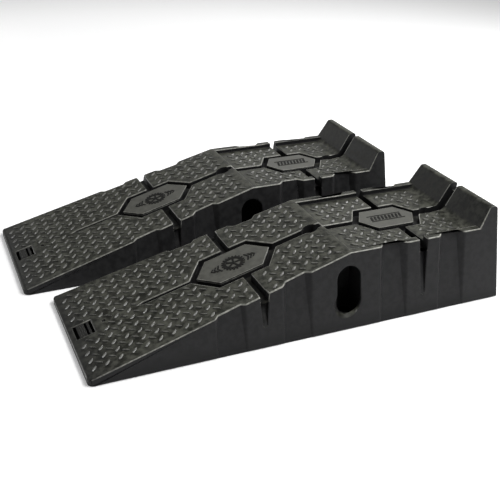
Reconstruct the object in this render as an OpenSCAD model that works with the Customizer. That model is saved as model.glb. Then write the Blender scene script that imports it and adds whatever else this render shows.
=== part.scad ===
// A pair of one-piece drive-on ramps for raising a vehicle's wheels.
// Each ramp runs along +X from its toe to its wheel stop and stands on Z = 0.

/* [Ramp outline] */
// Length of the sloping tread, from the toe to the crest
incline_l = 590; // [520:5:760]
// Length from the crest to the foot of the wheel stop
platform_l = 341; // [320:1:460]
// Width of the ramp at its base
ramp_w = 356; // [320:1:440]
// Height of the toe
toe_h = 12; // [10:1:20]
// Height of the crest and of the side rims behind it
rim_h = 177; // [150:1:215]
// Depth of the wheel seat below the side rims
seat_drop = 10; // [4:1:14]
// Width of the side rims beside the wheel seat
rim_w = 18; // [16:1:26]
// Horizontal run of the slope from the crest down into the wheel seat
seat_entry = 16; // [12:1:24]
// Inward lean of the side walls, in degrees
side_draft = 8.8; // [6:0.1:10]
// Corner radius of the toe, seen from above
toe_r = 14; // [6:1:24]

/* [Wheel stop] */
// Height of the stop above the side rims
stop_rise = 47; // [36:1:60]
// Horizontal run of the stop's front face
stop_run = 28; // [20:1:40]
// Thickness of the stop across its top
stop_top = 18; // [17:1:26]
// Radius along the top edges of the stop
stop_r = 8; // [3:0.5:8]
// Radius where the wheel seat turns up into the stop
stop_fillet = 20; // [6:1:30]
// Lean of the back wall, in degrees
back_draft = 3.4; // [1:0.1:5]

/* [Moulding] */
// Thickness of the tread skin
skin = 5; // [4:0.5:7]
// Thickness of the side walls and of the groove walls
wall = 5; // [4:0.5:6]
// Thickness of the ribs underneath
rib_t = 4; // [3:0.5:6]
// Spacing of the cross ribs
rib_pitch = 90; // [75:1:100]
// Spacing of the long ribs
rib_gap = 85; // [70:1:95]

/* [Grooves] */
// Width of the cross grooves and the long groove
groove_w = 18; // [12:1:20]
// Depth of the grooves and of the wells around the badges
groove_d = 18; // [10:1:22]
// Width of the wells around the badges
well_w = 15; // [10:1:18]
// Width of the thin groove that runs towards the toe
toe_groove_w = 8; // [4:1:12]
// Depth of the thin groove
toe_groove_d = 9; // [4:1:12]
// Length of the thin groove in front of the lower well
toe_groove_l = 120; // [60:5:140]
// Width of the channel that splits the wheel stop
channel_w = 24; // [14:1:30]
// Depth of the channel in the stop's front face
channel_d = 14; // [6:1:16]
// Diameter of the round pocket in front of the crest
crest_pocket_d = 36; // [24:1:44]
// Depth of the two round pockets
pocket_d = 26; // [20:1:32]
// Diameter of the round pocket in front of the stop
stop_pocket_d = 33; // [24:1:40]

/* [Badges] */
// Half length of the lower badge, to its pointed ends
low_badge_l = 87; // [70:1:92]
// Half width of the lower badge
low_badge_w = 51; // [40:1:56]
// Half length of the lower badge's straight sides
low_badge_side = 50; // [35:1:60]
// Distance from the lower badge's centre to the crest
low_badge_back = 212; // [190:1:230]
// Half length of the upper badge, to its pointed ends
top_badge_l = 74; // [60:1:80]
// Half width of the upper badge
top_badge_w = 46; // [36:1:50]
// Half length of the upper badge's straight sides
top_badge_side = 47; // [30:1:52]
// Distance from the crest to the upper badge's centre
top_badge_fwd = 181; // [165:1:190]
// Thickness of the badge plates
badge_t = 3; // [2:0.5:4]
// Diameter of the badge plates' two pins
pin_d = 6; // [4:0.5:8]
// Length of the pins below the plate
pin_l = 9; // [8:1:14]
// Half spacing of the two pins
pin_gap = 34; // [20:1:40]

/* [Side walls] */
// Distance from a badge's centre back to the slots beside it
slot_shift = 6; // [-10:1:12]
// Width of a side slot at the top
slot_w = 20; // [14:1:24]
// Width of a side slot at its foot
slot_foot_w = 9; // [4:1:12]
// Height of the foot of the side slots
slot_foot = 50; // [30:1:70]
// Depth of a side slot at its foot
slot_foot_d = 1; // [0.5:0.5:4]
// Distance from a slot's centre to the recess on each side of it
recess_gap = 43; // [30:1:48]
// Length of each recess along the wall
recess_l = 68; // [40:1:72]
// Depth of each recess at rim height
recess_d = 14; // [4:1:15]
// Depth of each recess at the base
recess_foot = 1.5; // [0.5:0.5:4]
// Distance from the hand hole's centre to the crest
hand_back = 4; // [-10:1:20]
// Width of the hand hole
hand_w = 58; // [40:1:64]
// Height of the hand hole
hand_h = 112; // [80:1:118]
// Height of the hand hole's middle
hand_z = 91; // [80:1:95]
// Radius of the dish around the foot of the hand hole
dish_r = 36; // [32:1:40]

/* [Toe pad] */
// Distance from the toe to the front of the pad's window
window_x = 13; // [10:1:20]
// Width of the window
window_w = 50; // [40:1:60]
// Length of the pad's tongue in the window
tongue_l = 17; // [12:1:20]
// Gap in front of the tongue
tongue_gap = 7; // [4:1:9]
// Length of the pad's latch bar behind the tongue
latch_l = 5; // [4:0.5:6]
// Gap between the tongue and the latch bar
latch_gap = 5; // [3:0.5:6]
// Gap behind the latch bar
window_gap = 6; // [3:0.5:7]
// Thickness of the pad's sole
sole_t = 4; // [3:0.5:5]
// Width of the sole
sole_w = 120; // [100:1:150]
// Distance from the toe to the pad's rivet
rivet_x = 77; // [70:1:78]
// Diameter of the rivet's head
rivet_head_d = 8.4; // [7:0.1:10]
// Diameter of the rivet's shank
rivet_d = 5; // [3:0.5:6]

/* [Feet] */
// Diameter of the rubber feet
foot_d = 32; // [24:1:34]
// Thickness of a foot's disc
foot_t = 5; // [4:0.5:8]
// Height of the ramp's base above the floor
foot_proud = 1.5; // [1:0.5:3]
// Diameter of a foot's stem
stem_d = 10; // [6:1:14]
// Length of a foot's stem
stem_l = 10; // [6:1:14]
// Distance from the side of the ramp to a foot's centre
foot_in = 26; // [25:1:40]

/* [Pair] */
// Distance between the two ramps' centre lines at rest
pair_pitch = 404; // [370:1:600]
// How far the left ramp stands forward of the right one
stagger = 56; // [0:1:120]
// Clearance between separate pieces
clear = 0.2; // [0.1:0.05:0.4]

/* [Hidden] */
$fn = 48;
over = 5; // how far a cut runs past the surface it opens
mid = ramp_w / 2;
crest_x = incline_l;
stop_x = crest_x + platform_l;
stop_h = rim_h + stop_rise;
ramp_l = stop_x + stop_run + stop_top + stop_h * tan(back_draft);
seat_z = rim_h - seat_drop;
seat_x = crest_x + seat_entry;
lip_x = seat_x - seat_drop;
side_k = tan(side_draft);
recess_k = side_k + (recess_d - recess_foot) / rim_h;
back_k = tan(back_draft);
face_a = atan2(stop_rise, stop_run);
rim_in = rim_h * side_k + rim_w;

low_x = crest_x - low_badge_back;
top_x = crest_x + top_badge_fwd;
slot_xs = [low_x + slot_shift, top_x + slot_shift];
crest_pocket_back = 0.62; // pocket's centre ahead of the crest, in pocket diameters
crest_pocket_x = crest_x - crest_pocket_back * crest_pocket_d;
stop_pocket_back = 1.4; // pocket's centre ahead of the stop, in pocket diameters
stop_pocket_x = stop_x - stop_pocket_back * stop_pocket_d;
groove_lap = well_w / 4; // how far a groove runs into the well it meets
groove_point = 3; // length of the thin groove's point, in half widths
hand_x = crest_x - hand_back;

tongue_x = window_x + tongue_gap;
latch_x = tongue_x + tongue_l + latch_gap;
window_l = latch_x + latch_l + window_gap - window_x;

rib_first = hand_x - rib_pitch / 2;
rib_start = 1.2; // where cross ribs may begin, in distances to the window's far end
rib_stop = 0.8; // least room behind the last cross rib, in rib spacings
ribs_ahead = floor((rib_first - rib_start * (window_x + window_l)) / rib_pitch);
ribs_behind = floor((ramp_l - rib_stop * rib_pitch - rib_first) / rib_pitch);
rib_xs = [for (i = [-ribs_ahead : ribs_behind]) rib_first + i * rib_pitch];

sole_end = rib_xs[0] - rib_t / 2 - 2 * clear;

foot_ribs = [rib_xs[1], rib_first, rib_xs[len(rib_xs) - 1]];
boss_wall = 2.5; // plastic left around a foot's disc
disc_h = foot_t - foot_proud; // how deep a foot's disc sits in the base
stem_room = 1; // free space above a foot's stem
stem_cap = 4; // height of the boss above the stem's end
boss_h = disc_h + stem_l + stem_cap;
pin_room = 1; // free space below a badge pin

// Height of the tread above the ramp's base, and how fast the incline climbs
climb = (rim_h - toe_h) / crest_x;
function tread_z(x) = x <= crest_x ? toe_h + climb * x : seat_z;

dish_shift = 6; // how far ahead of the hand hole its dish stands
dish_x = hand_x - dish_shift;
dish_z = hand_z - hand_h / 2 + hand_w / 2;
dish_y = side_k * (dish_z - dish_r);
dish_run = 11; // how far the dish's cone runs into the wall
dish_neck = 1; // how much smaller than the hand hole the cone ends
dish_pad = 3; // plastic left around the dish
dish_back = 1; // plastic left behind the dish
hand_reach = 0.85 * rib_gap; // how far the hand hole runs inwards
step_grow = 1.5; // how far the inner skin's 45 degree steps stand off, in walls

toe_wall = 8; // plastic in front of the toe pad's sole
post_r = 8; // radius of the pad's post and of the boss above it
post_drop = 6; // how far the boss hangs below the tread's skin
boss_z = tread_z(rivet_x) - skin - post_drop;
head_t = 2; // thickness of the rivet's head
head_sink = 0.5; // how far the head stands below the tread
head_seat = tread_z(rivet_x - rivet_head_d / 2) - head_t - head_sink;
tongue_play = 4; // room beside the tongue, in clearances
tongue_drop = 1; // how far the tongue stays below the tread

// Points along an arc about c, from angle a to angle b
function arc(c, r, a, b, steps = 8) =
    [for (i = [0 : steps]) c + r * [cos(a + (b - a) * i / steps), sin(a + (b - a) * i / steps)]];

// Where a plane parallel to the stop's front face, set back by d, stands at height z
function face_x(z, d = 0) = stop_x + (z - rim_h) / tan(face_a) + d / sin(face_a);

// Height of the top edge of a side wall
function rim_z(x) = x <= crest_x ? tread_z(x) : rim_h;

// An outline in X and Z, carried across the ramp from y0 to y1
module across(outline, y0 = -over, y1 = ramp_w + over) {
    translate([0, y1, 0])
        rotate([90, 0, 0])
        linear_extrude(y1 - y0)
        polygon(outline);
}

// An outline in Y and Z, carried along the ramp from x0 to x1
module along(outline, x0, x1) {
    translate([x0, 0, 0])
        rotate([90, 0, 90])
        linear_extrude(x1 - x0)
        polygon(outline);
}

// The children on the right-hand side wall and mirrored on the left-hand one
module both_sides() {
    children();
    translate([0, ramp_w, 0])
        mirror([0, 1, 0])
        children();
}

// Outside of the moulding

module side_outline() {
    top_front = stop_x + stop_run;
    top_back = top_front + stop_top;
    front_t = stop_r * tan(face_a / 2);
    back_t = stop_r * tan((90 - back_draft) / 2);
    across(concat(
        [[-over, 0], [-over, toe_h - climb * over], [crest_x, rim_h], [stop_x, rim_h]],
        arc([top_front + front_t, stop_h - stop_r], stop_r, 90 + face_a, 90),
        arc([top_back - back_t, stop_h - stop_r], stop_r, 90, back_draft),
        [[ramp_l, 0]]));
}

module drafted_section() {
    top = stop_h + over;
    along([[side_k * -over, -over], [ramp_w + side_k * over, -over],
        [ramp_w - side_k * top, top], [side_k * top, top]], -over, ramp_l + over);
}

module rounded_toe() {
    translate([0, 0, -over])
        linear_extrude(stop_h + 2 * over)
        polygon(concat(
            arc([toe_r, toe_r], toe_r, 270, 180),
            arc([toe_r, ramp_w - toe_r], toe_r, 180, 90),
            [[toe_r, ramp_w + over], [ramp_l + over, ramp_w + over],
             [ramp_l + over, -over], [toe_r, -over]]));
}

module outside() {
    intersection() {
        side_outline();
        drafted_section();
        rounded_toe();
    }
}

// Wheel seat between the rims

module wheel_seat() {
    corner = [face_x(seat_z), seat_z];
    largest = seat_drop / sin(face_a) / tan(face_a / 2);
    r = min(stop_fillet, largest - clear);
    t = r * tan(face_a / 2);
    across(concat(
        [[lip_x - over, rim_h + over], [seat_x, seat_z]],
        arc([corner[0] - t, seat_z + r], r, 270, 270 + face_a),
        [[stop_x, rim_h], [stop_x, rim_h + over]]),
        rim_in, ramp_w - rim_in);
}

// Groove network, as one pattern seen from above

// A long hexagon with its points on the X axis, its sides set out by grow
module hexagon(half_l, half_w, side, grow = 0) {
    a = atan2(half_w, half_l - side);
    l = half_l + grow / sin(a);
    w = half_w + grow;
    s = side + grow * tan(a / 2);
    polygon([[-l, 0], [-s, -w], [s, -w], [l, 0], [s, w], [-s, w]]);
}

module low_hexagon(grow = 0) {
    translate([low_x, mid])
        hexagon(low_badge_l, low_badge_w, low_badge_side, grow);
}

module top_hexagon(grow = 0) {
    translate([top_x, mid])
        hexagon(top_badge_l, top_badge_w, top_badge_side, grow);
}

// A straight groove about the centre line from x0 to x1
module long_groove(x0, x1, width) {
    translate([x0, mid - width / 2])
        square([x1 - x0, width]);
}

module groove_plan(grow = 0) {
    width = groove_w + 2 * grow;
    difference() {
        low_hexagon(well_w + grow);
        low_hexagon(-grow);
    }
    difference() {
        top_hexagon(well_w + grow);
        top_hexagon(-grow);
    }
    long_groove(low_x + low_badge_l + groove_lap, top_x - top_badge_l - groove_lap, width);
    long_groove(top_x + top_badge_l + groove_lap, ramp_l + over, channel_w + 2 * grow);
    for (x = slot_xs)
        translate([x - width / 2, -over])
            square([width, mid - low_badge_w + over - groove_lap]);
    for (x = slot_xs)
        translate([x - width / 2, mid + low_badge_w + groove_lap])
            square([width, mid - low_badge_w + over]);
}

module pocket_plan(grow = 0) {
    translate([crest_pocket_x, mid])
        circle(d = crest_pocket_d + 2 * grow);
    translate([stop_pocket_x, mid])
        circle(d = stop_pocket_d + 2 * grow);
}

module toe_groove_plan(grow = 0) {
    end = low_x - low_badge_l - groove_lap;
    start = low_x - low_badge_l - well_w - toe_groove_l - grow;
    half = toe_groove_w / 2 + grow;
    point = start + groove_point * half;
    polygon([[start, mid], [point, mid - half], [end, mid - half],
        [end, mid + half], [point, mid + half]]);
}

// All that lies above a floor parallel to the tread, d below it, and face_d behind the stop
module above_floor(d, face_d = channel_d) {
    floor_z = seat_z - d;
    across([[-over, toe_h - climb * over - d], [crest_x, rim_h - d], [seat_x, floor_z],
        [face_x(floor_z, face_d), floor_z], [face_x(stop_h - d, face_d), stop_h - d],
        [ramp_l + over, stop_h - d], [ramp_l + over, stop_h + over],
        [-over, stop_h + over]], 0, ramp_w);
}

// A pattern cut straight down to such a floor
module sunk(d, face_d = channel_d) {
    intersection() {
        linear_extrude(stop_h)
            children();
        above_floor(d, face_d);
    }
}

module grooves(grow = 0) {
    sunk(groove_d + grow, channel_d + grow)
        groove_plan(grow);
    sunk(pocket_d + grow)
        pocket_plan(grow);
    sunk(toe_groove_d + grow)
        toe_groove_plan(grow);
}

// Side walls

// The space behind a plane that stands at 45 degrees to the side wall and leans with it
module behind_step(x) {
    size = 2 * stop_h;
    translate([x, 0, 0])
        rotate([-atan(side_k / sqrt(2)), 0, 45])
        translate([-size / 2, -size, -size / 2])
        cube(size);
}

// A shallow recess in the wall that all but fades out at the base
module recess(x0, x1, grow = 0) {
    low = -over;
    high = rim_h + over;
    back = recess_foot + grow;
    intersection() {
        along([[-2 * over, low], [back + recess_k * low, low], [back + recess_k * high, high],
            [-2 * over, high]], x0 - 2 * grow - over, x1 + 2 * grow + over);
        behind_step(x0 - step_grow * grow);
        translate([x1 + step_grow * grow, 0, 0])
            mirror([1, 0, 0])
            behind_step(0);
    }
}

// A slot that narrows and grows shallower down to its foot
module slot(x, grow = 0) {
    high = rim_z(x);
    foot_half = slot_foot_w / 2 + grow;
    high_half = slot_w / 2 + grow;
    foot_y = side_k * slot_foot + slot_foot_d + grow;
    high_y = side_k * high + groove_d + grow;
    lean = (high_y - foot_y) / (high - slot_foot);
    widen = (high_half - foot_half) / (high - slot_foot);
    below = 3 * over;
    intersection() {
        across([[x, slot_foot - foot_half], [x + foot_half, slot_foot],
            [x + high_half + widen * over, high + over],
            [x - high_half - widen * over, high + over], [x - foot_half, slot_foot]], -over, mid);
        along([[-2 * over, slot_foot - below], [foot_y - lean * below, slot_foot - below],
            [high_y + lean * over, high + over], [-2 * over, high + over]],
            x - 2 * slot_w, x + 2 * slot_w);
    }
}

module wall_features(grow = 0) {
    for (x = slot_xs) {
        slot(x, grow);
        recess(x + recess_gap, x + recess_gap + recess_l, grow);
        recess(x - recess_gap - recess_l, x - recess_gap, grow);
    }
}

module hand_hole() {
    half = (hand_h - hand_w) / 2;
    translate([hand_x, hand_reach, hand_z])
        rotate([90, 0, 0])
        linear_extrude(hand_reach + over)
        union() {
            translate([0, half])
                circle(d = hand_w);
            translate([0, -half])
                circle(d = hand_w);
            square([hand_w, 2 * half], center = true);
        }
    translate([dish_x, dish_y, dish_z])
        rotate([-90, 0, 0])
        cylinder(h = dish_run, r1 = dish_r, r2 = hand_w / 2 - dish_neck);
    translate([dish_x, -over, dish_z])
        rotate([-90, 0, 0])
        cylinder(h = dish_y + over, r = dish_r);
}

module hand_hole_pad() {
    translate([dish_x, -over, dish_z])
        rotate([-90, 0, 0])
        cylinder(h = over + dish_y + dish_run + dish_back, r = dish_r + dish_pad);
}

// Inside of the moulding

module ribs() {
    for (x = rib_xs)
        translate([x - rib_t / 2, -over, -over])
            cube([rib_t, ramp_w + 2 * over, stop_h + over]);
    for (i = [-1 : 1])
        translate([rib_xs[0], mid + i * rib_gap - rib_t / 2, -over])
            cube([ramp_l - rib_xs[0], rib_t, stop_h + over]);
}

module hollow() {
    top = stop_h;
    seat_skin = seat_z - skin;
    intersection() {
        across([[toe_wall, -over], [toe_wall, tread_z(toe_wall) - skin], [crest_x, rim_h - skin],
            [seat_x - skin / 2, seat_skin], [face_x(seat_skin, skin), seat_skin],
            [face_x(top - skin, skin), top - skin],
            [ramp_l - back_k * (top - skin) - wall, top - skin],
            [ramp_l + back_k * over - wall, -over]]);
        along([[wall - side_k * over, -over], [ramp_w - wall + side_k * over, -over],
            [ramp_w - wall - side_k * top, top], [wall + side_k * top, top]], 0, ramp_l);
    }
}

// Centre of foot i, counted from the toe with the right-hand side first
function foot_place(i) = [foot_ribs[floor(i / 2)], i % 2 == 0 ? foot_in : ramp_w - foot_in];

module foot_bosses() {
    for (i = [0 : 5])
        translate([each foot_place(i), -over])
            cylinder(h = boss_h + over, r = foot_d / 2 + boss_wall);
}

module foot_sockets() {
    for (i = [0 : 5])
        translate([each foot_place(i), -over]) {
            cylinder(h = disc_h + over, r = foot_d / 2 + clear);
            cylinder(h = disc_h + stem_l + stem_room + over, r = stem_d / 2 + clear / 2);
        }
}

// The island tops keep a full skin under the badge plates
module island_skin() {
    sunk(badge_t + skin)
        union() {
            low_hexagon();
            top_hexagon();
        }
}

module badge_seats() {
    sunk(badge_t)
        union() {
            low_hexagon(well_w / 2);
            top_hexagon(well_w / 2);
        }
    for (x = [low_x, top_x], s = [-1, 1])
        translate([x + s * pin_gap, mid, tread_z(x + s * pin_gap) - badge_t - pin_l - pin_room])
            cylinder(h = pin_l + over, r = pin_d / 2 + clear / 2);
}

// Toe pad and its rivet

module rivet_boss() {
    translate([rivet_x, mid, boss_z])
        cylinder(h = toe_h + rim_h, r = post_r);
}

module rivet_hole() {
    translate([rivet_x, mid, 0])
        cylinder(h = rim_h, r = rivet_d / 2 + clear);
    translate([rivet_x, mid, head_seat])
        cylinder(h = rim_h, r = rivet_head_d / 2 + clear);
}

module pad_window() {
    translate([window_x, mid - window_w / 2, -over])
        cube([window_l, window_w, rim_h]);
}

// Pieces of one ramp

module ramp() {
    color([0.22, 0.22, 0.21])
        difference() {
            outside();
            difference() {
                hollow();
                ribs();
                grooves(wall);
                both_sides() {
                    wall_features(wall);
                    hand_hole_pad();
                }
                island_skin();
                foot_bosses();
                rivet_boss();
            }
            wheel_seat();
            grooves();
            both_sides() {
                wall_features();
                hand_hole();
            }
            badge_seats();
            foot_sockets();
            rivet_hole();
            pad_window();
        }
}

// A plate that fills the top of an island, level with the tread around it
module badge_plate(x) {
    difference() {
        sunk(badge_t)
            children();
        above_floor(0);
    }
    for (s = [-1, 1])
        translate([x + s * pin_gap, mid, tread_z(x + s * pin_gap) - badge_t - pin_l])
            cylinder(h = pin_l + badge_t / 2, r = pin_d / 2);
}

module lower_badge() {
    color([0.32, 0.32, 0.31])
        badge_plate(low_x)
        low_hexagon();
}

module upper_badge() {
    color([0.32, 0.32, 0.31])
        badge_plate(top_x)
        top_hexagon();
}

module toe_pad() {
    sole_top = sole_t - foot_proud;
    side = window_w - 2 * tongue_play * clear;
    color([0.12, 0.12, 0.12])
        difference() {
            union() {
                translate([toe_wall + clear, mid - sole_w / 2, -foot_proud])
                    cube([sole_end - toe_wall - clear, sole_w, sole_t]);
                intersection() {
                    union() {
                        translate([tongue_x, mid - side / 2, 0])
                            cube([tongue_l, side, rim_h]);
                        translate([latch_x, mid - side / 2, 0])
                            cube([latch_l, side, rim_h]);
                    }
                    across([[0, 0], [crest_x, 0], [crest_x, rim_h - tongue_drop],
                        [0, toe_h - tongue_drop]]);
                }
                translate([rivet_x, mid, 0])
                    cylinder(h = boss_z - clear, r = post_r);
            }
            translate([rivet_x, mid, sole_top])
                cylinder(h = rim_h, r = rivet_d / 2 + clear / 2);
        }
}

module toe_rivet() {
    color([0.2, 0.2, 0.2])
        translate([rivet_x, mid, 0])
        union() {
            translate([0, 0, head_seat])
                cylinder(h = head_t, r = rivet_head_d / 2);
            translate([0, 0, sole_t])
                cylinder(h = head_seat - sole_t + head_t / 2, r = rivet_d / 2);
        }
}

module foot(number) {
    color([0.1, 0.1, 0.1])
        translate([each foot_place(number - 1), -foot_proud])
        union() {
            cylinder(h = foot_t, r = foot_d / 2);
            cylinder(h = foot_t + stem_l, r = stem_d / 2);
        }
}

// The pair, with the middle of its footprint at the origin

module right() {
    translate([(stagger - ramp_l) / 2, -(pair_pitch + ramp_w) / 2, foot_proud])
        children();
}

module left() {
    translate([-(stagger + ramp_l) / 2, (pair_pitch - ramp_w) / 2, foot_proud])
        children();
}

right() ramp();  // right_ramp
right() lower_badge();  // right_lower_badge
right() upper_badge();  // right_upper_badge
right() toe_pad();  // right_toe_pad
right() toe_rivet();  // right_toe_rivet
right() foot(1);  // right_foot_1
right() foot(2);  // right_foot_2
right() foot(3);  // right_foot_3
right() foot(4);  // right_foot_4
right() foot(5);  // right_foot_5
right() foot(6);  // right_foot_6
left() ramp();  // left_ramp
left() lower_badge();  // left_lower_badge
left() upper_badge();  // left_upper_badge
left() toe_pad();  // left_toe_pad
left() toe_rivet();  // left_toe_rivet
left() foot(1);  // left_foot_1
left() foot(2);  // left_foot_2
left() foot(3);  // left_foot_3
left() foot(4);  // left_foot_4
left() foot(5);  // left_foot_5
left() foot(6);  // left_foot_6
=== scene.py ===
import math
import bmesh
import bpy
from mathutils import Matrix, Vector
from mathutils.bvhtree import BVHTree


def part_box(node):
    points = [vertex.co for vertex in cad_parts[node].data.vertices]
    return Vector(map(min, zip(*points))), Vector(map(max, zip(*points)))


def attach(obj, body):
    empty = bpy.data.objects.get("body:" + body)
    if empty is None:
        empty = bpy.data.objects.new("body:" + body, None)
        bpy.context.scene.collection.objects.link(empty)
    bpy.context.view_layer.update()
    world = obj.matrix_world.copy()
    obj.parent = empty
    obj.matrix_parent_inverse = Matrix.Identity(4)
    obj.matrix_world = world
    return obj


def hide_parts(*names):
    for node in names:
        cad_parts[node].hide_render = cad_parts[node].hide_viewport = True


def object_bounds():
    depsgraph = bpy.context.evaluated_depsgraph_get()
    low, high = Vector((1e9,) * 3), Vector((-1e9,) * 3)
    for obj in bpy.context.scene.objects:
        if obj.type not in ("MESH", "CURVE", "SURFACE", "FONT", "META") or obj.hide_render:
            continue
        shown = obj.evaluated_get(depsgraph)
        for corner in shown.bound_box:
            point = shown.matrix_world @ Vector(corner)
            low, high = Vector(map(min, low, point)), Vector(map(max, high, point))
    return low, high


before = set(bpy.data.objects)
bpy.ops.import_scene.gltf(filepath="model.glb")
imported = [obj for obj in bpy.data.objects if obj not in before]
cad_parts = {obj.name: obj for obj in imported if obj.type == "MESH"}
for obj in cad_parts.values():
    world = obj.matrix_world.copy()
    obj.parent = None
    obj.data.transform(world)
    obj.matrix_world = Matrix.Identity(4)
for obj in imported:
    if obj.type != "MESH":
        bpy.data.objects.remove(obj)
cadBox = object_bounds()
print("frame loaded:", len(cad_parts), "nodes")

mm = 0.001
sides = ("right", "left")
up = Vector((0, 0, 1))


# shared node work
def feed(tree, socket, value):
    # joins the socket to another one, or gives it a plain value
    if isinstance(value, bpy.types.NodeSocket):
        tree.links.new(value, socket)
    elif socket.type == "RGBA" and len(value) == 3:
        socket.default_value = (*value, 1.0)
    else:
        socket.default_value = value


def addNode(tree, kind, links=None, **settings):
    # links: input name or number -> a socket to join or a plain value
    node = tree.nodes.new(kind)
    for key, value in settings.items():
        setattr(node, key, value)
    for key, value in (links or {}).items():
        feed(tree, node.inputs[key], value)
    return node


def doMath(tree, operation, a, b, clamp=False):
    node = addNode(tree, "ShaderNodeMath", {0: a, 1: b}, operation=operation, use_clamp=clamp)
    return node.outputs[0]


def multiply(tree, value, *others):
    for other in others:
        value = doMath(tree, "MULTIPLY", value, other)
    return value


def remap(tree, value, span, outLow=0.0, outHigh=1.0):
    node = addNode(tree, "ShaderNodeMapRange",
                   {"Value": value, "From Min": span[0], "From Max": span[1],
                    "To Min": outLow, "To Max": outHigh},
                   interpolation_type="SMOOTHSTEP")
    return node.outputs["Result"]


def mixColour(tree, factor, a, b):
    # 0, 6 and 7 are the factor and the two colours of the node, and output 2 is its colour
    return addNode(tree, "ShaderNodeMix", {0: factor, 6: a, 7: b}, data_type="RGBA").outputs[2]


# shader groups that several finishes share
def newGroup(name, inputs, outputs):
    tree = bpy.data.node_groups.new(name, "ShaderNodeTree")
    for label, kind, value in inputs:
        socket = tree.interface.new_socket(name=label, in_out="INPUT", socket_type=kind)
        if value is not None:
            socket.default_value = value
    for label, kind in outputs:
        tree.interface.new_socket(name=label, in_out="OUTPUT", socket_type=kind)
    start = tree.nodes.new("NodeGroupInput")
    end = tree.nodes.new("NodeGroupOutput")
    return tree, start, end


def useGroup(tree, group, links):
    return addNode(tree, "ShaderNodeGroup", links, node_tree=group)


grainValues = {
    "fineScale": 2.3, "fineDetail": 2.0, "fineRough": 0.6, "pebbleShare": 0.6, "fineShare": 0.4,
    "mottleDetail": 5.0, "mottleRough": 0.62, "mottleSpan": (0.36, 0.64),
}


def makeGrainGroup():
    # pebbled skin of a moulding tool: a height, and a slow mottle for the colour
    tree, start, end = newGroup(
        "Moulded Grain",
        [("Vector", "NodeSocketVector", None), ("Pebble", "NodeSocketFloat", 420.0),
         ("Mottle Scale", "NodeSocketFloat", 26.0)],
        [("Height", "NodeSocketFloat"), ("Mottle", "NodeSocketFloat")])
    place, scale = start.outputs["Vector"], start.outputs["Pebble"]
    pebble = addNode(tree, "ShaderNodeTexVoronoi",
                     {"Vector": place, "Scale": scale, "Randomness": 1.0}, feature="SMOOTH_F1")
    fine = addNode(tree, "ShaderNodeTexNoise",
                   {"Vector": place, "Scale": multiply(tree, scale, grainValues["fineScale"]),
                    "Detail": grainValues["fineDetail"], "Roughness": grainValues["fineRough"]})
    slow = addNode(tree, "ShaderNodeTexNoise",
                   {"Vector": place, "Scale": start.outputs["Mottle Scale"],
                    "Detail": grainValues["mottleDetail"],
                    "Roughness": grainValues["mottleRough"]})
    height = doMath(tree, "ADD",
                    multiply(tree, pebble.outputs["Distance"], grainValues["pebbleShare"]),
                    multiply(tree, fine.outputs["Fac"], grainValues["fineShare"]))
    feed(tree, end.inputs["Height"], height)
    feed(tree, end.inputs["Mottle"], remap(tree, slow.outputs["Fac"], grainValues["mottleSpan"]))
    return tree


wearAndHighlightValues = {
    "bevelSamples": 4, "turnSpan": (0.995, 0.86),  # cosine between the true and the rounded normal
    "aroundReach": 8 * mm, "aroundSamples": 6, "outerSpan": (0.72, 0.95),
    "patchDetail": 3.0, "patchSpan": (0.25, 0.6), "patchLeast": 0.35, "upSpan": (0.22, 0.5),
}


def makeWearAndHighlightGroup():
    # where outer corners that face up turn light: partly worn, partly a painted highlight
    tree, start, end = newGroup(
        "Rubbed Edges And Painted Highlight",
        [("Vector", "NodeSocketVector", None), ("Radius", "NodeSocketFloat", 0.002),
         ("Breakup", "NodeSocketFloat", 90.0)],
        [("Mask", "NodeSocketFloat"), ("Soft Normal", "NodeSocketVector")])
    rounded = addNode(tree, "ShaderNodeBevel", {"Radius": start.outputs["Radius"]},
                      samples=wearAndHighlightValues["bevelSamples"])
    softNormal = rounded.outputs["Normal"]
    geometry = addNode(tree, "ShaderNodeNewGeometry")
    dot = addNode(tree, "ShaderNodeVectorMath", {0: softNormal, 1: geometry.outputs["Normal"]},
                  operation="DOT_PRODUCT")
    turned = remap(tree, dot.outputs["Value"], wearAndHighlightValues["turnSpan"])
    around = addNode(tree, "ShaderNodeAmbientOcclusion", {"Distance": wearAndHighlightValues["aroundReach"]},
                     samples=wearAndHighlightValues["aroundSamples"], only_local=True)
    outer = remap(tree, around.outputs["AO"], wearAndHighlightValues["outerSpan"])
    patch = addNode(tree, "ShaderNodeTexNoise",
                    {"Vector": start.outputs["Vector"], "Scale": start.outputs["Breakup"],
                     "Detail": wearAndHighlightValues["patchDetail"]})
    broken = remap(tree, patch.outputs["Fac"], wearAndHighlightValues["patchSpan"], wearAndHighlightValues["patchLeast"])
    lift = addNode(tree, "ShaderNodeSeparateXYZ", {0: softNormal})
    facingUp = remap(tree, lift.outputs["Z"], wearAndHighlightValues["upSpan"])
    feed(tree, end.inputs["Mask"], multiply(tree, turned, outer, broken, facingUp))
    feed(tree, end.inputs["Soft Normal"], softNormal)
    return tree


cavityValues = {
    "samples": 8, "openSpan": (0.42, 0.92), "levelSpan": (0.25, 0.93), "baseSpan": (40 * mm, 0.0),
}


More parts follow.
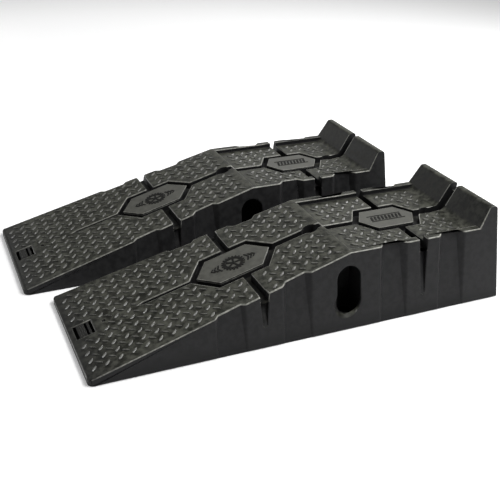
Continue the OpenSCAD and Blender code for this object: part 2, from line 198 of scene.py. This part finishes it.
def makeCavityGroup():
    # how open a spot is, how level it is, and how close to the floor it lies: masks for the
    # painted shade in hollows and near the floor, and for the lighter top colour
    tree, start, end = newGroup(
        "Closed In",
        [("Vector", "NodeSocketVector", None), ("Distance", "NodeSocketFloat", 0.03)],
        [("Open", "NodeSocketFloat"), ("Level", "NodeSocketFloat"), ("Base", "NodeSocketFloat")])
    shade = addNode(tree, "ShaderNodeAmbientOcclusion", {"Distance": start.outputs["Distance"]},
                    samples=cavityValues["samples"], only_local=True)
    geometry = addNode(tree, "ShaderNodeNewGeometry")
    facing = addNode(tree, "ShaderNodeSeparateXYZ", {0: geometry.outputs["Normal"]})
    place = addNode(tree, "ShaderNodeSeparateXYZ", {0: start.outputs["Vector"]})
    feed(tree, end.inputs["Open"], remap(tree, shade.outputs["AO"], cavityValues["openSpan"]))
    feed(tree, end.inputs["Level"], remap(tree, facing.outputs["Z"], cavityValues["levelSpan"]))
    feed(tree, end.inputs["Base"], remap(tree, place.outputs["Z"], cavityValues["baseSpan"]))
    return tree


dustValues = {
    "speckSpan": (0.16, 0.04), "filmDetail": 6.0, "filmRough": 0.7, "filmSpan": (0.45, 0.8),
}


def makeDustGroup():
    # pale specks and faint films
    tree, start, end = newGroup(
        "Settled Dust",
        [("Vector", "NodeSocketVector", None), ("Speck Scale", "NodeSocketFloat", 700.0),
         ("Film Scale", "NodeSocketFloat", 12.0)],
        [("Specks", "NodeSocketFloat"), ("Film", "NodeSocketFloat")])
    place = start.outputs["Vector"]
    speck = addNode(tree, "ShaderNodeTexVoronoi",
                    {"Vector": place, "Scale": start.outputs["Speck Scale"]})
    film = addNode(tree, "ShaderNodeTexNoise",
                   {"Vector": place, "Scale": start.outputs["Film Scale"],
                    "Detail": dustValues["filmDetail"], "Roughness": dustValues["filmRough"]})
    feed(tree, end.inputs["Specks"],
         remap(tree, speck.outputs["Distance"], dustValues["speckSpan"]))
    feed(tree, end.inputs["Film"], remap(tree, film.outputs["Fac"], dustValues["filmSpan"]))
    return tree


grainGroup = makeGrainGroup()
wearAndHighlightGroup = makeWearAndHighlightGroup()
cavityGroup = makeCavityGroup()
dustGroup = makeDustGroup()
print("shader groups ready")


# finishes
def moulded(name, look):
    material = bpy.data.materials.new(name)
    material.use_nodes = True
    tree = material.node_tree
    shader = tree.nodes["Principled BSDF"]
    place = addNode(tree, "ShaderNodeTexCoord").outputs["Object"]
    grain = useGroup(tree, grainGroup, {"Vector": place, "Pebble": look["pebble"],
                                        "Mottle Scale": look["mottleScale"]})
    wearAndHighlight = useGroup(tree, wearAndHighlightGroup, {"Vector": place, "Radius": look["wearRadius"],
                                      "Breakup": look["breakup"]})
    cavity = useGroup(tree, cavityGroup, {"Vector": place, "Distance": look["cavityDepth"]})
    dust = useGroup(tree, dustGroup, {"Vector": place, "Speck Scale": look["speckScale"],
                                      "Film Scale": look["filmScale"]})
    mottle, rubbedAndHighlit, level = grain.outputs["Mottle"], wearAndHighlight.outputs["Mask"], cavity.outputs["Level"]

    # level faces take the lighter top colour: partly the tread's own scuffed tone, partly a
    # painted sheen
    wall = mixColour(tree, mottle, look["wallDark"], look["wallLight"])
    top = mixColour(tree, mottle, look["topDark"], look["topLight"])
    colour = mixColour(tree, level, wall, top)
    film = multiply(tree, dust.outputs["Film"], look["film"], level)
    colour = mixColour(tree, film, colour, look["dustColour"])
    # painted highlight with some wear: rounded outer corners that face up turn lighter
    colour = mixColour(tree, multiply(tree, rubbedAndHighlit, look["wearAndHighlight"]), colour, look["wearAndHighlightColour"])
    specks = multiply(tree, dust.outputs["Specks"], look["specks"], level)
    colour = mixColour(tree, specks, colour, look["dustColour"])
    # painted shade: closed-in hollows and the foot of the walls turn dark
    shut = doMath(tree, "SUBTRACT", 1.0, cavity.outputs["Open"])
    closed = doMath(tree, "MAXIMUM", multiply(tree, shut, look["cavityShade"]),
                    multiply(tree, cavity.outputs["Base"], look["baseShade"]))
    colour = mixColour(tree, closed, colour, look["paintedShadeColour"])
    feed(tree, shader.inputs["Base Color"], colour)

    rough = doMath(tree, "ADD", multiply(tree, mottle, look["roughSpread"]), look["rough"])
    polish = multiply(tree, rubbedAndHighlit, look["wearPolish"])
    feed(tree, shader.inputs["Roughness"], doMath(tree, "SUBTRACT", rough, polish, clamp=True))
    bump = addNode(tree, "ShaderNodeBump",
                   {"Strength": look["bump"], "Distance": look["bumpHeight"],
                    "Height": grain.outputs["Height"], "Normal": wearAndHighlight.outputs["Soft Normal"]})
    feed(tree, shader.inputs["Normal"], bump.outputs["Normal"])
    shader.inputs["Specular IOR Level"].default_value = look["specular"]
    shader.inputs["IOR"].default_value = look["ior"]
    return material


plasticLook = {
    "pebble": 620.0, "mottleScale": 70.0, "bump": 0.4, "bumpHeight": 0.6 * mm,
    "wallDark": (0.012, 0.012, 0.0125), "wallLight": (0.020, 0.020, 0.0205),
    "topDark": (0.010, 0.0105, 0.007), "topLight": (0.066, 0.067, 0.054),
    "dustColour": (0.12, 0.12, 0.10), "film": 0.2, "filmScale": 12.0,
    "specks": 0.25, "speckScale": 700.0,
    "wearAndHighlightColour": (0.24, 0.24, 0.215), "wearAndHighlight": 0.7, "wearRadius": 2.2 * mm,
    "breakup": 90.0, "wearPolish": 0.12,
    "paintedShadeColour": (0.011, 0.011, 0.0115), "cavityDepth": 30 * mm, "cavityShade": 1.0,
    "baseShade": 1.0,  # painted shade: darkening of the walls towards the floor
    "rough": 0.42, "roughSpread": 0.16, "specular": 0.18, "ior": 1.49,
}

# the rounded corners of the moulding, lighter than the rest: partly worn, partly a painted
# highlight
cornerLook = dict(
    plasticLook, mottleScale=110.0, bump=0.12,
    wallDark=(0.13, 0.13, 0.115), wallLight=(0.30, 0.30, 0.27),
    topDark=(0.14, 0.14, 0.125), topLight=(0.34, 0.34, 0.30), rough=0.32, specular=0.5)

# the lozenge flanks take a much darker colour than the body walls: painted shade beside the crowns
lozengeLook = dict(
    plasticLook, mottleScale=140.0,
    wallDark=(0.004, 0.004, 0.004), wallLight=(0.010, 0.010, 0.009),
    topDark=(0.02, 0.02, 0.016), topLight=(0.08, 0.081, 0.068),
    film=0.1, wearAndHighlight=0.3, wearRadius=1.2 * mm, cavityDepth=4 * mm, cavityShade=0.0,
    rough=0.3, specular=0.7)

# the lozenge crowns, lighter than the flanks: partly worn, partly a painted highlight
crownLook = dict(
    lozengeLook, bump=0.12,
    wallDark=(0.05, 0.05, 0.044), wallLight=(0.10, 0.10, 0.088),
    topDark=(0.066, 0.066, 0.058), topLight=(0.155, 0.155, 0.136), rough=0.26)

badgeLook = dict(
    plasticLook, pebble=900.0, bump=0.15,
    wallDark=(0.01, 0.01, 0.01), wallLight=(0.015, 0.015, 0.015),
    topDark=(0.050, 0.050, 0.042), topLight=(0.083, 0.083, 0.071),
    film=0.12, wearRadius=1.2 * mm, cavityDepth=4 * mm, cavityShade=0.75, specular=0.35)

emblemLook = dict(
    badgeLook, topDark=(0.004, 0.004, 0.0035), topLight=(0.009, 0.009, 0.008),
    wearAndHighlight=0.5, wearRadius=0.4 * mm, rough=0.55, specular=0.12)

padLook = dict(
    plasticLook, pebble=1100.0,
    wallDark=(0.010, 0.010, 0.011), wallLight=(0.014, 0.014, 0.015),
    topDark=(0.014, 0.014, 0.013), topLight=(0.022, 0.022, 0.020),
    wearAndHighlight=0.4, wearRadius=0.8 * mm, cavityDepth=6 * mm, cavityShade=0.7, baseShade=0.0,
    rough=0.6, roughSpread=0.1, specular=0.15)

rivetLook = dict(
    plasticLook, pebble=1500.0, bump=0.1,
    wallDark=(0.012, 0.012, 0.012), wallLight=(0.02, 0.02, 0.02),
    topDark=(0.02, 0.02, 0.018), topLight=(0.04, 0.04, 0.036),
    wearRadius=0.5 * mm, cavityDepth=3 * mm, cavityShade=0.5, rough=0.34, roughSpread=0.08)

plastic = moulded("Ramp Plastic", plasticLook)
cornerPlastic = moulded("Rubbed Corners And Painted Highlight", cornerLook)
lozengePlastic = moulded("Tread Plastic", lozengeLook)
crownPlastic = moulded("Rubbed Crowns And Painted Highlight", crownLook)
badgePlastic = moulded("Badge Plastic", badgeLook)
emblemPlastic = moulded("Emblem Plastic", emblemLook)
padRubber = moulded("Pad Rubber", padLook)
footRubber = moulded("Foot Rubber", dict(padLook, rough=0.78))
rivetPlastic = moulded("Rivet Plastic", rivetLook)
print("finishes ready")


# shared mesh work
meshWork = {
    "copyWithin": 0.01 * mm, "flatWithin": math.radians(0.6), "seamWithin": 0.001 * mm,
    "rayFrom": 1.0, "probe": 1 * mm, "reach": 2.0, "leastNormal": 1e-6,
    "upright": 0.2, "crestAcross": 0.1, "crestFacing": 0.8,  # parts of a face's normal
    "rimShare": 0.25,
}


def toMesh(name, bm):
    mesh = bpy.data.meshes.new(name)
    bm.to_mesh(mesh)
    bm.free()
    return mesh


def mergedCopy(node):
    # a CAD node's mesh with its loose corners joined and its flat faces made whole
    bm = bmesh.new()
    bm.from_mesh(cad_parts[node].data)
    bmesh.ops.remove_doubles(bm, verts=bm.verts, dist=meshWork["copyWithin"])
    bmesh.ops.dissolve_limit(bm, angle_limit=meshWork["flatWithin"],
                             use_dissolve_boundaries=False, verts=bm.verts, edges=bm.edges,
                             delimit=set())
    bm.normal_update()
    return bm


def nodeTree(node):
    # a CAD node's surface, ready for rays
    bm = bmesh.new()
    bm.from_mesh(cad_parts[node].data)
    tree = BVHTree.FromBMesh(bm)
    bm.free()
    return tree


def topPlane(node, x, y):
    # a frame on the upper surface of a CAD node: X up the slope, Z out of the surface
    spot, normal = nodeTree(node).ray_cast(Vector((x, y, meshWork["rayFrom"])), -up)[:2]
    along = Vector((normal.z, 0, -normal.x))
    turn = Matrix((along, Vector((0, 1, 0)), normal)).transposed().to_4x4()
    return Matrix.Translation(spot) @ turn


def addPiece(name, bm, materials, body, replaces=()):
    mesh = toMesh(name, bm)
    for material in materials:
        mesh.materials.append(material)
    piece = bpy.data.objects.new(name, mesh)
    bpy.context.scene.collection.objects.link(piece)
    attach(piece, body)
    if replaces:
        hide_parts(*replaces)


def bevelEdges(bm, edges, width, segments, material=0, clamp=True):
    # rounds the edges; the new faces take the material with that number
    made = bmesh.ops.bevel(bm, geom=edges, offset=width, offset_type="OFFSET", affect="EDGES",
                           segments=segments, profile=0.5, material=-1, clamp_overlap=clamp,
                           loop_slide=True)
    bm.normal_update()
    for face in made["faces"]:
        # upright corners stay plain, and so does a gentle crest across the slope, so the lighter
        # corner finish (worn and painted highlight) stays off them
        upright = face.normal.z < meshWork["upright"]
        crest = (abs(face.normal.y) < meshWork["crestAcross"]
                 and face.normal.z > meshWork["crestFacing"])
        face.material_index = 0 if upright or crest else material


def slab(outline, bottom, top, soften):
    # a flat shape standing on an outline, with its top edges taken off
    bm = bmesh.new()
    face = bm.faces.new([bm.verts.new((x, y, bottom)) for x, y in outline])
    lifted = bmesh.ops.extrude_face_region(bm, geom=[face])["geom"]
    verts = [item for item in lifted if isinstance(item, bmesh.types.BMVert)]
    bmesh.ops.translate(bm, vec=(0, 0, top - bottom), verts=verts)
    bmesh.ops.recalc_face_normals(bm, faces=bm.faces)
    rimFrom = top - soften * meshWork["rimShare"]
    rim = [edge for edge in bm.edges if all(v.co.z > rimFrom for v in edge.verts)]
    bevelEdges(bm, rim, soften, segments=1)
    return bm


def lathe(profile, steps, closed=False):
    # a turned shape about Z from (radius, height) pairs
    bm = bmesh.new()
    verts = [bm.verts.new((radius, 0, height)) for radius, height in profile]
    following = verts[1:] + verts[:1] if closed else verts[1:]
    edges = [bm.edges.new(pair) for pair in zip(verts, following)]
    bmesh.ops.spin(bm, geom=verts + edges, cent=(0, 0, 0), axis=(0, 0, 1), angle=2 * math.pi,
                   steps=steps, use_merge=True)
    bmesh.ops.remove_doubles(bm, verts=bm.verts, dist=meshWork["seamWithin"])
    bmesh.ops.recalc_face_normals(bm, faces=bm.faces)
    return bm


def addShape(bm, shape, matrix, material=0):
    # puts a small mesh into a bigger one
    bmesh.ops.transform(shape, matrix=matrix, verts=shape.verts)
    for face in shape.faces:
        face.material_index = material
    mesh = toMesh("shape", shape)
    bm.from_mesh(mesh)
    bpy.data.meshes.remove(mesh)


def outerEdges(bm, middle, shortest, sharpest):
    # convex edges that open to the sky or to the sides, and are long enough to round over
    tree = BVHTree.FromBMesh(bm)
    found = []
    for edge in bm.edges:
        if not edge.is_manifold or edge.calc_length() < shortest:
            continue
        if edge.calc_face_angle_signed() < sharpest:
            continue
        outward = sum((face.normal for face in edge.link_faces), Vector())
        if outward.length < meshWork["leastNormal"]:
            continue
        centre = (edge.verts[0].co + edge.verts[1].co) / 2
        spot = centre + outward.normalized() * meshWork["probe"]
        nearSide = Vector((0, -1 if spot.y < middle else 1, 0))
        ways = (up, nearSide, Vector((1, 0, 0)), Vector((-1, 0, 0)))
        if any(tree.ray_cast(spot, way, meshWork["reach"])[0] is None for way in ways):
            found.append(edge)
    return found


# the moulded ramp
rampShell = {
    "round": 2.2 * mm, "segments": 2, "shortest": 3.4 * mm, "sharpest": math.radians(12),
    "toeHeight": 13.5 * mm, "crestHeight": 178.5 * mm, "crestAt": 590 * mm,
    "highlightDepth": 14 * mm,
}


def makeRamp(side):
    node = side + "_ramp"
    low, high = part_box(node)
    bm = mergedCopy(node)
    edges = outerEdges(bm, (low.y + high.y) / 2, rampShell["shortest"], rampShell["sharpest"])
    print(node, "edges to round:", len(edges))
    # short edges elsewhere would hold the whole rounding back, so it isn't clamped
    bevelEdges(bm, edges, rampShell["round"], rampShell["segments"], material=1, clamp=False)
    rise = rampShell["crestHeight"] - rampShell["toeHeight"]
    for face in bm.faces:
        # only corners near the tread keep the lighter corner finish, worn and painted highlight,
        # not those of the holes and slots below it
        spot = face.calc_center_median()
        climb = min((spot.x - low.x) / rampShell["crestAt"], 1)
        treadHeight = rampShell["toeHeight"] + climb * rise
        if spot.z < treadHeight - rampShell["highlightDepth"]:
            face.material_index = 0
    addPiece(side + "_ramp_shell", bm, [plastic, cornerPlastic], side, [node])


# raised lozenges on the tread
tread = {
    "length": 20 * mm, "width": 7.8 * mm, "height": 2.1 * mm, "sunk": 0.4 * mm, "sides": 12,
    "crown": 0.19, "crownLong": 2.1, "taper": 0.35,
    "crownRound": 0.6 * mm, "crownSegments": 2, "crownFrom": 0.9, "crownFacing": 0.75,
    "pitch": 28.2 * mm, "first": (20 * mm, 33 * mm), "angle": math.radians(43),
    "slopeAt": 150 * mm, "seatAt": 130 * mm, "stripAt": 60 * mm,  # spots on the two planes
    "margin": 3 * mm, "flatness": 0.35 * mm, "sameFacing": 0.999, "above": 0.1,
    "testAlong": (-1, -0.5, 0, 0.5, 1), "testAcross": (-0.8, 0.8),
}


def makeLozenge():
    # one lozenge lying along X, its foot at Z = 0
    bm = bmesh.new()
    bmesh.ops.create_cone(bm, cap_ends=True, cap_tris=False, segments=tread["sides"],
                          radius1=0.5, radius2=tread["crown"],
                          depth=tread["height"] + tread["sunk"])
    bmesh.ops.scale(bm, vec=(tread["length"], tread["width"], 1), verts=bm.verts)
    bmesh.ops.translate(bm, vec=(0, 0, (tread["height"] - tread["sunk"]) / 2), verts=bm.verts)
    for vert in bm.verts:
        # the crown runs nearly the whole length, and both are drawn in towards the ends
        if vert.co.z > 0:
            vert.co.x *= tread["crownLong"]
        vert.co.y *= 1 - tread["taper"] * (2 * abs(vert.co.x) / tread["length"]) ** 2
    crownHeight = tread["height"] * tread["crownFrom"]
    crown = [edge for edge in bm.edges if all(v.co.z > crownHeight for v in edge.verts)]
    bevelEdges(bm, crown, tread["crownRound"], tread["crownSegments"])
    # the crown faces take the lighter crown finish: worn and painted highlight
    for face in bm.faces:
        if face.normal.z > tread["crownFacing"]:
            face.material_index = 1
    return toMesh("lozenge", bm)


def makeTread(side, lozenge):
    node = side + "_ramp"
    low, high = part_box(node)
    surface = nodeTree(node)

    def ground(x, y):
        return surface.ray_cast(Vector((x, y, high.z + tread["above"])), -up)[:2]

    def lies(hit, facing, point, normal):
        # whether a hit is on the plane through the point
        return (hit is not None and abs((hit - point).dot(normal)) < tread["flatness"]
                and facing.dot(normal) > tread["sameFacing"])

    strip = low.y + tread["stripAt"]
    planes = [ground(low.x + tread["slopeAt"], strip), ground(high.x - tread["seatAt"], strip)]

    def planeUnder(x, y, corners):
        # the spot and normal under a lozenge that lies wholly on one of the planes
        hits = [ground(x + dx, y + dy) for dx, dy in corners]
        for point, normal in planes:
            if all(lies(hit, facing, point, normal) for hit, facing in hits):
                return hits[0][0], normal
        return None

    bm = bmesh.new()
    count = 0
    columns = int((high.x - low.x) / tread["pitch"]) + 1
    rows = int((high.y - low.y) / tread["pitch"]) + 1
    half, wide = tread["length"] / 2 + tread["margin"], tread["width"] / 2 + tread["margin"]
    for lean, shift in ((1, 0), (-1, tread["pitch"] / 2)):  # two grids that lean opposite ways
        turn = lean * tread["angle"]
        along = Vector((math.cos(turn), math.sin(turn)))
        across = Vector((-along.y, along.x))
        corners = [(0, 0)] + [tuple(along * a * half + across * b * wide)
                              for a in tread["testAlong"] for b in tread["testAcross"]]
        for i in range(columns):
            for j in range(rows):
                x = low.x + tread["first"][0] + shift + i * tread["pitch"]
                y = low.y + tread["first"][1] + shift + j * tread["pitch"]
                found = planeUnder(x, y, corners)
                if found is None:
                    continue
                spot, normal = found
                bm.from_mesh(lozenge)
                bm.verts.ensure_lookup_table()
                fresh = bm.verts[-len(lozenge.vertices):]
                tilt = up.rotation_difference(normal).to_matrix().to_4x4()
                place = Matrix.Translation(spot) @ tilt @ Matrix.Rotation(turn, 4, "Z")
                bmesh.ops.transform(bm, matrix=place, verts=fresh)
                count += 1
    bm.normal_update()
    print(side, "lozenges:", count)
    addPiece(side + "_tread", bm, [lozengePlastic, crownPlastic], side)


lozengeMesh = makeLozenge()
for side in sides:
    makeRamp(side)
    makeTread(side, lozengeMesh)
print("ramps ready")


# the badge plates and their raised emblems
badge = {
    "round": 0.9 * mm, "segments": 2, "rimShortest": 20 * mm, "rimTop": 0.9, "rimSide": 0.4,
    "relief": 1.2 * mm, "sunk": 0.4 * mm, "soften": 0.25 * mm, "overlap": 1 * mm,
    "tyreOut": 24 * mm, "tyreIn": 17 * mm, "tyreSteps": 48, "hub": 5.2 * mm, "hubSteps": 16,
    "blocks": 20, "blockOut": 28 * mm, "blockHalf": 2.4 * mm, "blockTaper": 0.7,
    "spokes": 5, "spokeHalf": 1.9 * mm, "spokeFlare": 1.6,
    "chevrons": 3, "chevronAt": 36 * mm, "chevronPitch": 8 * mm, "chevronHalf": 13 * mm,
    "chevronLean": 6 * mm, "chevronWidth": 4 * mm, "chevronShrink": 0.22,
    "bars": 9, "barPitch": 9.6 * mm, "barHalf": 8.5 * mm, "barWidth": 5.4 * mm,
    "barLean": 5 * mm, "ruleAt": 13.5 * mm, "ruleHalf": 45 * mm, "ruleWidth": 1.8 * mm,
}


def addRaised(bm, outline, place):
    shape = slab(outline, -badge["sunk"], badge["relief"], badge["soften"])
    addShape(bm, shape, place, 1)


def addAround(bm, outline, place, count):
    # the same raised shape again and again round the middle
    for number in range(count):
        turn = Matrix.Rotation(2 * math.pi * number / count, 4, "Z")
        addRaised(bm, outline, place @ turn)


def tyreEmblem(bm, place):
    base, top, over = -badge["sunk"], badge["relief"], badge["overlap"]
    out, inside, hub = badge["tyreOut"], badge["tyreIn"], badge["hub"]
    ring = [(inside, base), (out, base), (out, top), (inside, top)]
    addShape(bm, lathe(ring, badge["tyreSteps"], closed=True), place, 1)
    cap = [(0, base), (hub, base), (hub, top), (0, top)]
    addShape(bm, lathe(cap, badge["hubSteps"]), place, 1)
    near, far, half = out - over, badge["blockOut"], badge["blockHalf"]
    tip = half * badge["blockTaper"]
    addAround(bm, [(near, -half), (far, -tip), (far, tip), (near, half)], place, badge["blocks"])
    near, far, half = hub - over, inside + over, badge["spokeHalf"]
    tip = half * badge["spokeFlare"]
    addAround(bm, [(near, -half), (far, -tip), (far, tip), (near, half)], place, badge["spokes"])
    for way in (1, -1):
        back, width = -way * badge["chevronLean"], way * badge["chevronWidth"]
        for number in range(badge["chevrons"]):
            x = way * (badge["chevronAt"] + number * badge["chevronPitch"])
            half = badge["chevronHalf"] * (1 - badge["chevronShrink"] * number)
            addRaised(bm, [(x, 0), (x + back, -half), (x + back + width, -half), (x + width, 0),
                           (x + back + width, half), (x + back, half)], place)


def barEmblem(bm, place):
    first = -(badge["bars"] - 1) / 2
    half, wide, lean = badge["barHalf"], badge["barWidth"] / 2, badge["barLean"] / 2
    for number in range(badge["bars"]):
        x = (first + number) * badge["barPitch"]
        addRaised(bm, [(x - wide - lean, -half), (x + wide - lean, -half),
                       (x + wide + lean, half), (x - wide + lean, half)], place)
    far, thick = badge["ruleHalf"], badge["ruleWidth"] / 2
    for y in (badge["ruleAt"], -badge["ruleAt"]):
        addRaised(bm, [(-far, y - thick), (far, y - thick), (far, y + thick), (-far, y + thick)],
                  place)


def isRim(edge):
    # a long edge between the plate's top and its side
    if not edge.is_manifold or edge.calc_length() <= badge["rimShortest"]:
        return False
    facing = [face.normal.z for face in edge.link_faces]
    steep = min(abs(z) for z in facing)
    return max(facing) > badge["rimTop"] and steep < badge["rimSide"] and edge.is_convex


def makeBadge(side, level, emblem):
    node = side + "_" + level + "_badge"
    low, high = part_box(node)
    bm = mergedCopy(node)
    rim = [edge for edge in bm.edges if isRim(edge)]
    # the rim's rounded faces take the lighter corner finish: worn and painted highlight
    bevelEdges(bm, rim, badge["round"], badge["segments"], material=2)
    middle = (low + high) / 2
    emblem(bm, topPlane(node, middle.x, middle.y))
    addPiece(side + "_" + level + "_badge_plate", bm,
             [badgePlastic, emblemPlastic, cornerPlastic], side, [node])


for side in sides:
    makeBadge(side, "lower", tyreEmblem)
    makeBadge(side, "upper", barEmblem)
print("badges ready")


# the toe pad, its rivet and the feet
pad = {
    "round": 0.7 * mm, "segments": 2, "shortest": 3 * mm, "sharpest": math.radians(20),
    "ridges": 3, "ridgePitch": 4.6 * mm, "ridgeHalf": 19 * mm, "ridgeWidth": 1.8 * mm,
    "ridgeHeight": 0.7 * mm, "ridgeAt": 28.5 * mm, "sunk": 0.4 * mm, "soften": 0.3 * mm,
}


def makePad(side):
    node = side + "_toe_pad"
    low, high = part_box(node)
    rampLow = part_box(side + "_ramp")[0]
    middle = (low.y + high.y) / 2
    bm = mergedCopy(node)
    edges = outerEdges(bm, middle, pad["shortest"], pad["sharpest"])
    bevelEdges(bm, edges, pad["round"], pad["segments"])
    place = topPlane(node, rampLow.x + pad["ridgeAt"], middle)
    wide, far = pad["ridgeWidth"] / 2, pad["ridgeHalf"]
    for number in range(pad["ridges"]):
        x = (number - (pad["ridges"] - 1) / 2) * pad["ridgePitch"]
        outline = [(x - wide, -far), (x + wide, -far), (x + wide, far), (x - wide, far)]
        addShape(bm, slab(outline, -pad["sunk"], pad["ridgeHeight"], pad["soften"]), place)
    addPiece(side + "_pad", bm, [padRubber], side, [node])


def addTurned(name, node, profile, steps, material, side):
    # a turned piece, standing where its CAD node stands
    low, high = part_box(node)
    centre = (low + high) / 2
    bm = bmesh.new()
    addShape(bm, lathe(profile, steps), Matrix.Translation((centre.x, centre.y, low.z)))
    addPiece(name, bm, [material], side, [node])


rivet = {
    "head": 2.0 * mm, "dome": 0.9 * mm, "domeSteps": 5, "shank": 2.5 * mm,
    "dimple": 1.2 * mm, "dimpleDepth": 0.4 * mm, "dimpleFloor": 0.7, "steps": 24,
}


def makeRivet(side):
    node = side + "_toe_rivet"
    low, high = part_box(node)
    radius, top = (high.x - low.x) / 2, high.z - low.z
    shoulder, dimple = top - rivet["head"], rivet["dimple"]
    profile = [(0, 0), (rivet["shank"], 0), (rivet["shank"], shoulder), (radius, shoulder),
               (radius, top - rivet["dome"])]
    for step in range(1, rivet["domeSteps"]):
        angle = math.pi / 2 * step / rivet["domeSteps"]
        profile.append((radius - (radius - dimple) * (1 - math.cos(angle)),
                        top - rivet["dome"] * (1 - math.sin(angle))))
    floor = top - rivet["dimpleDepth"]
    profile += [(dimple, top), (dimple * rivet["dimpleFloor"], floor), (0, floor)]
    addTurned(side + "_rivet", node, profile, rivet["steps"], rivetPlastic, side)


foot = {
    "count": 6, "disc": 5.0 * mm, "stem": 5.0 * mm, "round": 0.8 * mm, "cornerCut": 0.3,
    "rings": (5.5 * mm, 9.0 * mm, 12.5 * mm), "ringHalf": 0.8 * mm, "ringDepth": 0.7 * mm,
    "ringSlope": 0.2 * mm, "steps": 40,
}


def makeFoot(side, number):
    node = side + "_foot_" + str(number)
    low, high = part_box(node)
    radius, top = (high.x - low.x) / 2, high.z - low.z
    soft, disc, stem, slope = foot["round"], foot["disc"], foot["stem"], foot["ringSlope"]
    cut, depth = soft * foot["cornerCut"], foot["ringDepth"]
    profile = [(0, 0)]
    for ring in foot["rings"]:  # grip grooves in the sole
        near, far = ring - foot["ringHalf"], ring + foot["ringHalf"]
        profile += [(near, 0), (near + slope, depth), (far - slope, depth), (far, 0)]
    profile += [(radius - soft, 0), (radius - cut, cut), (radius, soft), (radius, disc - soft),
                (radius - cut, disc - cut), (radius - soft, disc), (stem, disc),
                (stem, top - soft), (stem - soft, top), (0, top)]
    addTurned(node + "_turned", node, profile, foot["steps"], footRubber, side)


for side in sides:
    makePad(side)
    makeRivet(side)
    for number in range(1, foot["count"] + 1):
        makeFoot(side, number)
print("small parts ready")


# floor, light and camera
studio = {
    "floorSize": 16.0, "floorColour": (0.9, 0.9, 0.9), "floorRough": 0.9, "floorSpecular": 0.1,
    "glow": 0.3, "glowReach": 0.3, "glowSamples": 8, "glowSpan": (0.1, 0.4), "glowLeast": 0.05,
    "worldColour": (1.0, 1.0, 1.0), "worldStrength": 0.15,
    "eye": (-0.7091, -1.6974, 0.9852), "aim": (-0.0140, -0.1235, 0.100),
    "roll": math.radians(1.38), "lens": 58.9, "sensor": 36, "nearest": 0.05, "farthest": 50,
    "lampAim": (0, 0, 0.1),
    "softboxes": {  # place, size, power
        "key": ((1.08, -1.38, 2.5), (1.0, 1.0), 60),
        "overhead": ((1.3, -0.15, 2.7), (2.0, 2.6), 30),
        "side": ((2.8, 0.5, 1.4), (0.9, 1.4), 48),
        "back": ((1.4, 3.1, 1.75), (2.6, 1.2), 18),
        "back left": ((-2.0, 3.0, 0.75), (1.6, 1.0), 26),
    },
}


def turnTowards(place, aim):
    return (Vector(aim) - Vector(place)).to_track_quat("-Z", "Y")


def makeFloor():
    bm = bmesh.new()
    bmesh.ops.create_grid(bm, x_segments=1, y_segments=1, size=studio["floorSize"] / 2)
    bmesh.ops.translate(bm, vec=(0, 0, cadBox[0].z), verts=bm.verts)
    material = bpy.data.materials.new("Floor Paper")
    material.use_nodes = True
    tree = material.node_tree
    shader = tree.nodes["Principled BSDF"]
    shader.inputs["Base Color"].default_value = (*studio["floorColour"], 1)
    shader.inputs["Roughness"].default_value = studio["floorRough"]
    shader.inputs["Specular IOR Level"].default_value = studio["floorSpecular"]
    shader.inputs["Emission Color"].default_value = (1, 1, 1, 1)
    # the glow fades where ambient occlusion finds the paper closed in: painted shadow under the
    # ramps and a painted contact shadow beside them
    covered = addNode(tree, "ShaderNodeAmbientOcclusion", {"Distance": studio["glowReach"]},
                      samples=studio["glowSamples"])
    bare = remap(tree, covered.outputs["AO"], studio["glowSpan"], studio["glowLeast"])
    feed(tree, shader.inputs["Emission Strength"], multiply(tree, bare, studio["glow"]))
    mesh = toMesh("floor", bm)
    mesh.materials.append(material)
    floor = bpy.data.objects.new("floor", mesh)
    bpy.context.scene.collection.objects.link(floor)


def makeWorld():
    world = bpy.data.worlds.new("Studio")
    world.use_nodes = True
    background = world.node_tree.nodes["Background"]
    background.inputs["Color"].default_value = (*studio["worldColour"], 1)
    background.inputs["Strength"].default_value = studio["worldStrength"]
    bpy.context.scene.world = world


def addSoftbox(name, place, size, power):
    lamp = bpy.data.lights.new(name, "AREA")
    lamp.shape = "RECTANGLE"
    lamp.size, lamp.size_y = size
    lamp.energy = power
    holder = bpy.data.objects.new(name, lamp)
    holder.location = place
    holder.rotation_euler = turnTowards(place, studio["lampAim"]).to_euler()
    bpy.context.scene.collection.objects.link(holder)


def makeCamera():
    lens = bpy.data.cameras.new("camera")
    lens.lens = studio["lens"]
    lens.sensor_width = studio["sensor"]
    lens.clip_start, lens.clip_end = studio["nearest"], studio["farthest"]
    camera = bpy.data.objects.new("camera", lens)
    turn = turnTowards(studio["eye"], studio["aim"]).to_matrix().to_4x4()
    roll = Matrix.Rotation(studio["roll"], 4, "Z")
    camera.matrix_world = Matrix.Translation(studio["eye"]) @ turn @ roll
    bpy.context.scene.collection.objects.link(camera)
    bpy.context.scene.camera = camera


makeFloor()
makeWorld()
for name, (place, size, power) in studio["softboxes"].items():
    addSoftbox(name, place, size, power)
makeCamera()
bpy.context.scene.view_settings.view_transform = "Standard"
print("studio ready")
